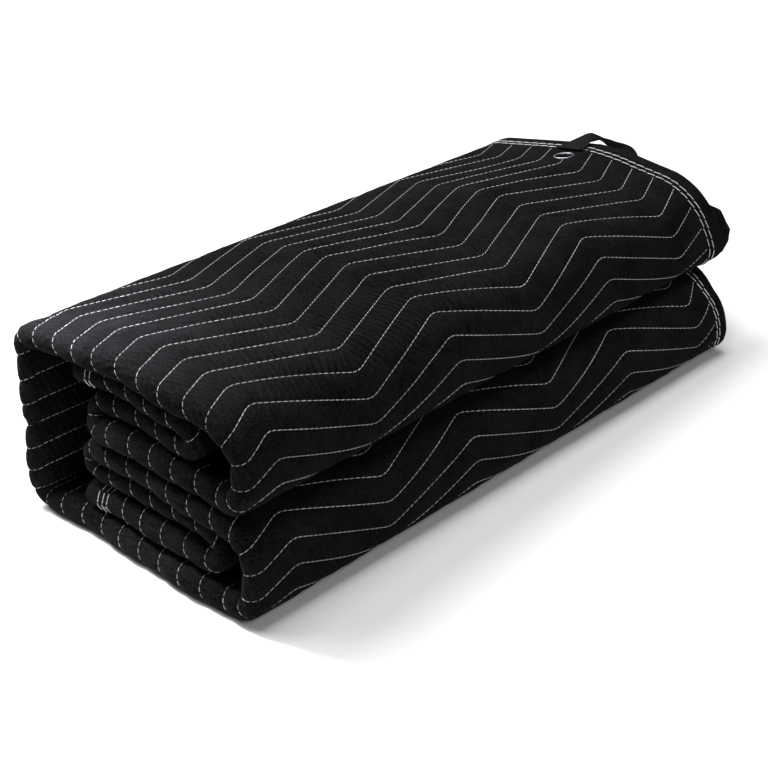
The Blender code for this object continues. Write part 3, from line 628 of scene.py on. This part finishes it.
END_ALONG = (OUTSIDE_ALONG[1], ALONG_START[2] + 0.014)
INSIDE_ALONG = (END_ALONG[1], ALONG_START[3] - 0.01)
SIDE_ALONG = (OUTER_RUN - 0.05, ALONG_START[2] + 0.03)
cloth_surface = BVHTree.FromObject(cloth, bpy.context.evaluated_depsgraph_get())


def spun_thread(name, color, roughness):
    """Two-ply thread: a fine diagonal twist in the bump and a little uneven wear in the colour."""
    shader = Shader(name, color, Roughness=roughness)
    shader.set(shader.principled, {"Sheen Weight": 0.2, "Sheen Roughness": 0.4})
    place = shader.place()
    wear = shader.ramp(shader.noise(place, 700.0, 3.0, 0.6), 0.3, 0.7, 0.0, 1.0)
    tint = shader.mix(wear, [0.72 * part for part in color], color)
    bands = {"Vector": place, "Scale": 900.0, "Distortion": 1.5}
    twist = shader.add("ShaderNodeTexWave", bands, "Fac", bands_direction="DIAGONAL")
    shader.set(shader.principled, {"Base Color": tint, "Normal": shader.bump(0.5, 0.0002, twist)})
    return shader.material


def stitching_nodes(name, material, pitch, radius, length, slant, seed):
    """A node tree that lays bowed stitches along the edges of a mesh, square to its 'outward' directions."""
    tree = bpy.data.node_groups.new(name, "GeometryNodeTree")
    tree.interface.new_socket("Geometry", in_out="INPUT", socket_type="NodeSocketGeometry")
    sizes = {
        "Pitch": pitch,
        "Thread Radius": radius,
        "Stitch Length": length,
        "Bow": radius * STITCH_BOW,
        "Slant": slant,
        "Unevenness": UNEVENNESS,
    }
    sockets = {
        label: tree.interface.new_socket(label, in_out="INPUT", socket_type="NodeSocketFloat").identifier
        for label in sizes
    }
    tree.interface.new_socket("Geometry", in_out="OUTPUT", socket_type="NodeSocketGeometry")

    def add(kind, values=(), **settings):
        """Adds a node, and gives its outputs."""
        node = tree.nodes.new(kind)
        for label, value in settings.items():
            setattr(node, label, value)
        for socket, value in dict(values).items():
            if isinstance(value, bpy.types.NodeSocket):
                tree.links.new(value, node.inputs[socket])
            else:
                node.inputs[socket].default_value = value
        return node.outputs

    def times(value, factor):
        return add("ShaderNodeMath", {0: value, 1: factor}, operation="MULTIPLY")[0]

    given = add("NodeGroupInput")
    lines = add("GeometryNodeMeshToCurve", {"Mesh": given["Geometry"]})[0]
    spacing = {"Curve": lines, "Length": given["Pitch"]}
    holes = add("GeometryNodeResampleCurve", spacing, mode="LENGTH")[0]
    half = times(given["Stitch Length"], 0.5)
    back, dip, aside = times(half, -1.0), times(given["Bow"], -1.0), times(given["Slant"], -1.0)
    start = add("ShaderNodeCombineXYZ", {"X": back, "Y": aside, "Z": dip})[0]
    middle = add("ShaderNodeCombineXYZ", {"Z": given["Bow"]})[0]
    end = add("ShaderNodeCombineXYZ", {"X": half, "Y": given["Slant"], "Z": dip})[0]
    places = {"Resolution": 3, "Start": start, "Middle": middle, "End": end}
    bow = add("GeometryNodeCurveQuadraticBezier", places)[0]
    ring = add("GeometryNodeCurvePrimitiveCircle", {"Resolution": 4, "Radius": given["Thread Radius"]})[0]
    tube = add("GeometryNodeCurveToMesh", {"Curve": bow, "Profile Curve": ring, "Fill Caps": True})[0]
    stitch = add("GeometryNodeSetShadeSmooth", {"Geometry": tube, "Shade Smooth": True})[0]
    outward = add("GeometryNodeInputNamedAttribute", {"Name": "outward"}, data_type="FLOAT_VECTOR")[0]
    tangent = add("GeometryNodeInputTangent")[0]
    forward = add("FunctionNodeAlignRotationToVector", {"Vector": tangent}, axis="X")[0]
    aim = {"Rotation": forward, "Vector": outward}
    upright = add("FunctionNodeAlignRotationToVector", aim, axis="Z", pivot_axis="X")[0]
    low = add("ShaderNodeMath", {0: 1.0, 1: given["Unevenness"]}, operation="SUBTRACT")[0]
    high = add("ShaderNodeMath", {0: 1.0, 1: given["Unevenness"]}, operation="ADD")[0]
    # the random node's numbers have the inputs 2 and 3 and the output 1
    uneven = add("FunctionNodeRandomValue", {2: low, 3: high, "Seed": seed}, data_type="FLOAT")[1]
    placing = {"Points": holes, "Instance": stitch, "Rotation": upright, "Scale": uneven}
    stitches = add("GeometryNodeInstanceOnPoints", placing)[0]
    real = add("GeometryNodeRealizeInstances", {"Geometry": stitches})[0]
    finished = add("GeometryNodeSetMaterial", {"Geometry": real, "Material": material})[0]
    add("NodeGroupOutput", {"Geometry": finished})
    return tree, {sockets[label]: value for label, value in sizes.items()}


def sew(name, lines, material, pitch, radius=THREAD_RADIUS, share=STITCH_SHARE, slant=0.0001, seed=3):
    """Stitches along lines of places, each line with the directions that point out of the cloth."""
    points = np.concatenate([places for places, _ in lines])
    outward = np.concatenate([directions for _, directions in lines])
    ends = np.cumsum([len(places) for places, _ in lines])
    edges = [(index, index + 1) for index in range(len(points) - 1) if index + 1 not in ends]
    data = bpy.data.meshes.new(name)
    data.from_pydata([tuple(point) for point in points], edges, [])
    direction = data.attributes.new("outward", "FLOAT_VECTOR", "POINT")
    direction.data.foreach_set("vector", outward.astype(np.float32).ravel())
    made = add_object(name, data)
    tree, values = stitching_nodes(name + "_nodes", material, pitch, radius, pitch * share, slant, seed)
    sewing = made.modifiers.new("sewing", "NODES")
    sewing.node_group = tree
    for identifier, value in values.items():
        sewing[identifier] = value
    stitched = made.evaluated_get(bpy.context.evaluated_depsgraph_get())
    made.data = bpy.data.meshes.new_from_object(stitched)
    made.modifiers.clear()
    bpy.data.meshes.remove(data)
    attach(made, "root")
    return made


def stitch_line(across, along, side):
    """A line of places on a face of the cloth, with its outward directions."""
    height = face_height(across, along, side)
    places = face_place(across, along, side)
    outward = fold(across, along, height + side * 0.001) - fold(across, along, height)
    outward /= np.linalg.norm(outward, axis=1, keepdims=True)
    starts = fold(across, along, side * (np.maximum(np.abs(height), CLOTH / 2) + SEAT_ABOVE))
    for index, (start, way) in enumerate(zip(starts, outward)):
        found = cloth_surface.ray_cast(Vector(start), Vector(-way), SEAT_REACH)[0]
        if found is not None:
            places[index] = found
    return places + outward * STITCH_LIFT, outward


def whole_runs(keep):
    """The stretches of neighbours that are all kept, as pairs of indexes."""
    edges = np.flatnonzero(np.diff(np.concatenate([[0], keep.astype(int), [0]])))
    return [(start, end) for start, end in edges.reshape(-1, 2) if end - start > 2]


def quilting_lines(across_range, along_range):
    """The zigzag lines inside a part of the cloth's upper face, clear of the hems and the eyelet."""
    low, high = (quilt_phase(place, QUILT_PEAK) for place in across_range)
    lines = []
    along = np.arange(*along_range, LINE_STEP)
    corners = QUILT_PEAK + QUILT_PERIOD / 2 * np.arange(-1, 10)
    along = np.union1d(along, corners[(corners > along_range[0]) & (corners < along_range[1])])
    for line in range(math.floor(low) - 1, math.ceil(high) + 3):
        across = TOP_START + QUILT_FIRST + line * QUILT_SPACING - QUILT_SWING * zigzag(along)
        inside = (across > across_range[0]) & (across < across_range[1])
        clear = np.hypot(across - EYELET[0], along - EYELET[1]) > EYELET_NEAREST
        for start, end in whole_runs(inside & clear):
            lines.append(stitch_line(across[start:end], along[start:end], 1))
    return lines


def hem_lines(side, along_edge, inward):
    """The two rows of one hem, which run across the cloth at set distances from its edge."""
    across = np.arange(HEM_ROW_END, WIDTH - HEM_ROW_END, LINE_STEP)
    return [stitch_line(across, np.full(len(across), along_edge + inward * row), side) for row in HEM_ROWS]


white_thread = spun_thread("white_thread", (0.74, 0.74, 0.75), 0.55)
outside_lines = quilting_lines(OUTSIDE_ACROSS, OUTSIDE_ALONG)
outer_quilting = sew("outer_quilting_thread", outside_lines, white_thread, QUILT_STITCH)
end_lines = quilting_lines(END_ACROSS, END_ALONG)
end_lines += quilting_lines((TOP_START, LOWER_FOLD), INSIDE_ALONG)
finer = {"radius": 0.00023, "share": 0.72}
inner_quilting = sew("inner_quilting_thread", end_lines, white_thread, QUILT_STITCH, **finer, seed=5)
hems = hem_lines(1, 0.0, 1.0) + hem_lines(-1, SECOND_HEM_EDGE, -1.0)
side_along = np.arange(*SIDE_ALONG, LINE_STEP)
for across in [*(WIDTH - row for row in (*HEM_ROWS, THIRD_ROW)), *HEM_ROWS]:
    hems.append(stitch_line(np.full(len(side_along), across), side_along, 1))
thicker = {"radius": 0.00039, "share": 0.84, "slant": 0.00045}
hem_thread = sew("hem_thread", hems, white_thread, HEM_STITCH, **thicker, seed=7)


# The webbing loop. A flat ribbed strap of black webbing, sewn down beside the eyelet on the hem, standing up
# in a flat bend at the hem's edge and tucked under it further on.
STRAP_THICK = 0.0016
STRAP_RIBS, STRAP_RIB = 11, 0.00016
STRAP_FLAT, STRAP_ROUND = 0.93, 0.075  # share of its half width that is flat, and over which it rounds off
STRAP_UV = (0.0015, 0.0006)
STRAP = (
    # the back edge's back, in and up, then the front edge's: from the eyelet, the hem's edge and the cloth
    (0.0218, 0.0300, 0.0023, -0.0062, 0.0300, 0.0023),
    (0.0218, 0.0170, 0.0024, -0.0070, 0.0255, 0.0024),
    (0.0213, 0.0050, 0.0029, -0.0072, 0.0205, 0.0029),
    (0.0168, -0.0025, 0.0058, -0.0062, 0.0150, 0.0042),
    (0.0111, -0.0065, 0.0089, -0.0041, 0.0111, 0.0050),
    (0.0078, -0.0092, 0.0088, -0.0039, 0.0031, 0.0041),
    (0.0018, -0.0105, 0.0062, -0.0054, -0.0050, 0.0030),
    (-0.0060, -0.0115, 0.0034, -0.0102, -0.0090, -0.0040),
    (-0.0175, -0.0120, 0.0012, -0.0142, -0.0105, -0.0100),
    (-0.0302, -0.0115, 0.0010, -0.0192, -0.0105, -0.0108),
    (-0.0407, -0.0095, 0.0002, -0.0232, -0.0090, -0.0096),
    (-0.0486, -0.0066, -0.0034, -0.0262, -0.0068, -0.0078),
    (-0.0512, -0.0040, -0.0061, -0.0280, -0.0035, -0.0066),
    (-0.0522, 0.0068, -0.0062, -0.0287, 0.0068, -0.0062),
)


def strap_lines(shares):
    """The places of the loop's two edges, smoothly between the lines of STRAP."""
    lines = np.array([STRAP[0], *STRAP, STRAP[-1]])
    index = np.minimum(shares.astype(int), len(STRAP) - 2)
    part = (shares - index)[:, None]
    before, start, end, after = (lines[index + step] for step in range(4))
    curve = 2 * start + (end - before) * part + (2 * before - 5 * start + 4 * end - after) * part**2
    curve = curve + (3 * start - before - 3 * end + after) * part**3
    return curve / 2


def webbing_loop(material):
    """The strap as a closed sheet between its two edges, ribbed lengthwise on both faces."""
    steps, sides = 8 * (len(STRAP) - 1) + 1, 4 * STRAP_RIBS + 1
    stations = strap_lines(np.linspace(0.0, len(STRAP) - 1, steps))
    edges = (stations[:, :3], stations[:, 3:])
    back, front = (fold(EYELET[0] + edge[:, 0], edge[:, 1], CLOTH / 2 + edge[:, 2]) for edge in edges)
    share = np.linspace(0.0, 1.0, sides)[None, :, None]
    band = blend(back[:, None, :], front[:, None, :], share)
    lengthwise = np.gradient(band, axis=0)
    crosswise = np.gradient(band, axis=1)
    normal = np.cross(lengthwise, crosswise)
    normal /= np.linalg.norm(normal, axis=2, keepdims=True)
    rib = STRAP_RIB * np.cos(2 * math.pi * STRAP_RIBS * share) - STRAP_RIB
    past = np.maximum(np.abs(2.0 * share - 1.0) - STRAP_FLAT, 0.0)
    selvedge = np.sqrt(np.clip(1.0 - past**2 / STRAP_ROUND**2, 0.1, 1.0))
    half = (STRAP_THICK / 2 + rib) * selvedge
    upper, lower = band + normal * half, band - normal * half
    points = np.concatenate([upper.reshape(-1, 3), lower.reshape(-1, 3)])
    index = np.arange(steps * sides).reshape(steps, sides)
    quads = np.stack([index[:-1, :-1], index[:-1, 1:], index[1:, 1:], index[1:, :-1]], axis=-1).reshape(-1, 4)
    faces = [quad[::-1] for quad in quads.tolist()] + (quads + steps * sides).tolist()
    rim = rim_of(index)
    after = np.roll(rim, -1)
    faces += np.stack([rim, after, after + steps * sides, rim + steps * sides], axis=1)[:, ::-1].tolist()
    made = add_mesh("webbing_loop", points, faces, material)
    flat = np.meshgrid(np.arange(steps) * STRAP_UV[0], np.arange(sides) * STRAP_UV[1], indexing="ij")
    add_uv(made, "cloth", np.concatenate([np.stack(flat, axis=-1).reshape(-1, 2)] * 2))
    return made


def woven_webbing():
    """Black webbing: a fine weave in the bump and a mottle of its yarns in the colour."""
    shader = Shader("woven_webbing", (0.006, 0.006, 0.007), Roughness=0.6)
    shader.set(shader.principled, {"Sheen Weight": 0.012, "Sheen Roughness": 0.4, "Specular IOR Level": 0.05})
    cloth_uv = shader.add("ShaderNodeUVMap", uv_map="cloth")
    bands = {"Vector": cloth_uv, "Scale": 190.0, "Distortion": 0.6}
    weave = shader.add("ShaderNodeTexWave", bands, "Fac", bands_direction="X")
    yarn = shader.noise(shader.scaled(cloth_uv, (2200.0, 900.0, 1.0)), 1.0, 3.0, 0.6)
    height = shader.math("ADD", shader.math("MULTIPLY", weave, 0.6), shader.math("MULTIPLY", yarn, 0.4))
    mottle = shader.ramp(yarn, 0.3, 0.7, 0.0, 1.0)
    tint = shader.mix(mottle, (0.0020, 0.0020, 0.0023), (0.0075, 0.0075, 0.0083))
    shader.set(shader.principled, {"Base Color": tint, "Normal": shader.bump(0.6, 0.0003, height)})
    return shader.material


loop = webbing_loop(woven_webbing())
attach(loop, "root")
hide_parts("hanging_loop")


# The eyelet. A two-part eyelet of bright plated steel, pressed through the hem: a rolled rim on the showing
# face, a short barrel that widens up to it, its inside in near-black steel as painted shade, and a flat
# washer below.
EYELET_BORE, EYELET_BARREL, EYELET_THROAT, EYELET_FLANGE, EYELET_SEAT = 0.0058, 0.0066, 0.0081, 0.0010, 0.0015
EYELET_ROLL = 0.0002  # where the rolled rim starts, above the cloth
EYELET_WASHER, WASHER_EDGE = 0.0008, 0.0004
TOUCH = 0.0002


def eyelet_frame():
    """A place and turn in the world whose Z is square to the cloth at the eyelet."""
    across, along = EYELET
    centre = Vector(fold(across, along, 0.0))
    side = Vector(fold(across, along + EYELET_RIM, 0.0) - fold(across, along - EYELET_RIM, 0.0)).normalized()
    back = Vector(fold(across + EYELET_RIM, along, 0.0) - fold(across - EYELET_RIM, along, 0.0))
    upward = back.cross(side).normalized()
    if upward.z < 0:
        upward = -upward
    turn = Matrix((side.cross(upward), side, upward)).transposed()
    return Matrix.Translation(centre) @ turn.to_4x4()


def eyelet_ring(plating, painted_shade_steel):
    """The eyelet as one turned outline, its bore and funnel up to the rolled rim in near-black steel that
    paints the shade inside it.
    """
    half = np.linalg.norm(fold(*EYELET, CLOTH / 2) - fold(*EYELET, -CLOTH / 2)) / 2
    seat, under = half - EYELET_SUNK + TOUCH, EYELET_SEAT - half - TOUCH
    middle, reach = (EYELET_THROAT + EYELET_RIM) / 2, (EYELET_RIM - EYELET_THROAT) / 2
    outline = [(EYELET_BORE, seat - 0.0012), (EYELET_BORE + 0.0002, seat - 0.0005)]
    outline += [(EYELET_BARREL, seat + 0.0001), (EYELET_THROAT, seat + EYELET_ROLL)]
    funnel = len(outline) - 1
    for swing in np.linspace(0.0, math.pi, 12)[1:]:
        rise = (EYELET_FLANGE - EYELET_ROLL) * math.sin(swing) ** 0.8
        outline.append((middle - reach * math.cos(swing), seat + EYELET_ROLL + rise))
    outline += [(EYELET_RIM - 0.0001, seat), (EYELET_BARREL, seat), (EYELET_BARREL, under)]
    outline += [(EYELET_RIM - WASHER_EDGE, under), (EYELET_RIM - 0.0006, under - EYELET_WASHER)]
    outline += [(EYELET_BORE + WASHER_EDGE, under - EYELET_WASHER), (EYELET_BORE, under - WASHER_EDGE)]
    turns = 72
    angles = np.linspace(0.0, 2 * math.pi, turns, endpoint=False)
    profile = np.array(outline)
    points = np.stack([
        np.outer(np.cos(angles), profile[:, 0]),
        np.outer(np.sin(angles), profile[:, 0]),
        np.broadcast_to(profile[:, 1], (turns, len(profile))),
    ], axis=-1).reshape(-1, 3)
    index = np.arange(turns * len(profile)).reshape(turns, len(profile))
    around, down = np.roll(index, -1, axis=0), np.roll(index, -1, axis=1)
    faces = np.stack([index, down, np.roll(down, -1, axis=0), around], axis=-1).reshape(-1, 4)
    made = add_mesh("eyelet_ring", points, faces, plating)
    made.data.materials.append(painted_shade_steel)
    inside = np.arange(len(profile)) < funnel
    inside[-1] = True
    made.data.polygons.foreach_set("material_index", np.tile(inside, turns).astype(np.int32))
    made.data.transform(eyelet_frame())
    made.data.set_sharp_from_angle(angle=math.radians(50))
    return made


def steel(name, color, smooth_part, scuffed_part):
    """Metal with fine scuffs, which roughen it unevenly."""
    shader = Shader(name, color, Metallic=1.0)
    scuffs = shader.noise(shader.place(), 900.0, 4.0, 0.6)
    roughness = shader.ramp(scuffs, 0.35, 0.7, smooth_part, scuffed_part)
    shader.set(shader.principled, {"Roughness": roughness, "Normal": shader.bump(0.15, 0.0002, scuffs)})
    return shader.material


plated_steel = steel("plated_steel", (0.36, 0.37, 0.39), 0.30, 0.46)
# near-black steel for the eyelet's inside: painted shade of its hollow
ring = eyelet_ring(plated_steel, steel("steel_painted_shade", (0.012, 0.012, 0.013), 0.45, 0.65))
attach(ring, "root")
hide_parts("eyelet")


# The studio. A pale floor under a faint white surround, with large soft lights overhead, behind, at both
# sides and in front, and a small one close to the upper corner of the near end.
FLOOR_REACH = 6.0
SURROUND_STRENGTH = 0.06
BUNDLE = (0.0, 0.0, 0.1)
LIGHTS = (
    # name, place, aim, width, power, spread in degrees
    ("high_light", (0.0, 0.0, 2.2), BUNDLE, 1.2, 28.7, 180.0),
    ("back_light", (0.2, 1.3, 1.9), BUNDLE, 1.2, 37.0, 180.0),
    ("left_light", (-0.8, 1.2, 1.7), BUNDLE, 1.2, 23.7, 180.0),
    ("right_light", (1.3, 1.2, 1.6), BUNDLE, 1.2, 9.0, 180.0),
    ("front_light", (-0.6, -1.9, 1.5), BUNDLE, 1.4, 17.0, 180.0),
    ("corner_light", (-0.33, 0.22, 0.42), (-0.30, 0.06, 0.17), 0.16, 0.55, 42.0),
)


def studio_floor():
    shader = Shader("pale_floor", (0.86, 0.86, 0.86), Roughness=0.9)
    grain = shader.noise(shader.place(), 3.0, 2.0)
    shader.set(shader.principled, {"Roughness": shader.ramp(grain, 0.3, 0.7, 0.85, 0.95)})
    corners = [(-1, -1), (1, -1), (1, 1), (-1, 1)]
    points = [(x * FLOOR_REACH, y * FLOOR_REACH, 0.0) for x, y in corners]
    add_mesh("studio_floor", points, [(0, 1, 2, 3)], shader.material)


def soft_light(name, place, aim, width, power, spread):
    light = bpy.data.lights.new(name, "AREA")
    light.shape, light.size, light.energy, light.spread = "DISK", width, power, math.radians(spread)
    made = add_object(name, light)
    made.location = place
    made.rotation_euler = (Vector(aim) - Vector(place)).to_track_quat("-Z", "Y").to_euler()


studio_floor()
for row in LIGHTS:
    soft_light(*row)
world = bpy.data.worlds.new("white_surround")
world.use_nodes = True
background = world.node_tree.nodes["Background"]
background.inputs["Color"].default_value = (1.0, 1.0, 1.0, 1.0)
background.inputs["Strength"].default_value = SURROUND_STRENGTH
bpy.context.scene.world = world
bpy.context.scene.view_settings.view_transform = "Standard"

# The camera, at the photograph's angle, distance and length of lens.
CAMERA_AZIMUTH, CAMERA_ELEVATION, CAMERA_ROLL = (math.radians(angle) for angle in (-44.866, 29.108, -1.752))
CAMERA_PLACE = (-0.97414, -0.95927, 0.78462)
CAMERA_LENS, SENSOR_WIDTH, CAMERA_SHIFT = 84.93, 36.0, (-0.00165, -0.00174)
back = Vector((
    math.sin(CAMERA_AZIMUTH) * math.cos(CAMERA_ELEVATION),
    -math.cos(CAMERA_AZIMUTH) * math.cos(CAMERA_ELEVATION),
    math.sin(CAMERA_ELEVATION),
))
level = Vector((math.cos(CAMERA_AZIMUTH), math.sin(CAMERA_AZIMUTH), 0.0))
turn = Matrix.Rotation(CAMERA_ROLL, 3, back)
camera_data = bpy.data.cameras.new("camera")
camera_data.lens, camera_data.sensor_width = CAMERA_LENS, SENSOR_WIDTH
camera_data.shift_x, camera_data.shift_y = CAMERA_SHIFT
camera = add_object("camera", camera_data)
axes = Matrix((turn @ level, turn @ back.cross(level), back)).transposed().to_4x4()
camera.matrix_world = Matrix.Translation(CAMERA_PLACE) @ axes
bpy.context.scene.camera = camera
